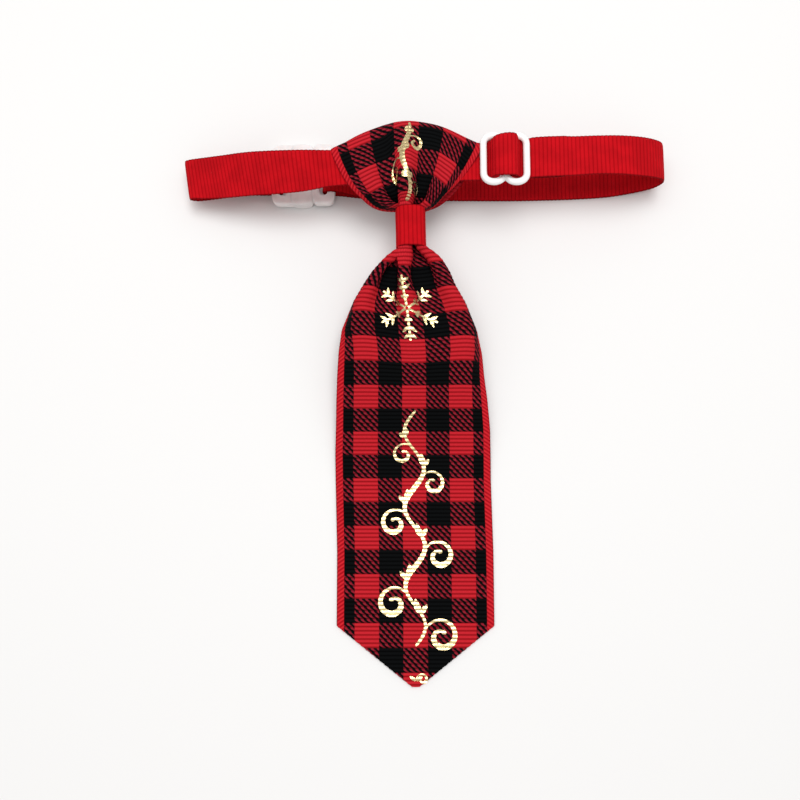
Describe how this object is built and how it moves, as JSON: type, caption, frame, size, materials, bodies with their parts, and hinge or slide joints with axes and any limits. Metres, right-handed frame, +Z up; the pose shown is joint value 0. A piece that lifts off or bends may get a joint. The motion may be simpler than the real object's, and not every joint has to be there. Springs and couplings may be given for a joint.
{
  "type": "pet necktie collar",
  "caption": "Small ribbon necktie for a pet on an adjustable ribbon collar with a slider and a fastened plastic clasp, lying flat.",
  "frame": {"origin": "middle of the footprint, on the surface that the collar lies on", "axes": "+X along the flattened collar loop, toward the slider's end; +Y from the tie's point to its knot; +Z up"},
  "size_m": [0.1214, 0.1352, 0.0194],
  "materials": {
    "red_ribbon": "ribbed grosgrain ribbon",
    "printed_ribbon": "ribbed ribbon printed in red and black checks",
    "white_plastic": "glossy",
    "milky_plastic": "milky, half clear"
  },
  "bodies": {
    "root": {"collar_strap": "red_ribbon", "neck_wrap": "red_ribbon", "tie_ribbon": "printed_ribbon", "slider": "white_plastic", "clasp_socket": "milky_plastic", "clasp_plug": "milky_plastic"}
  },
  "joints": []
}
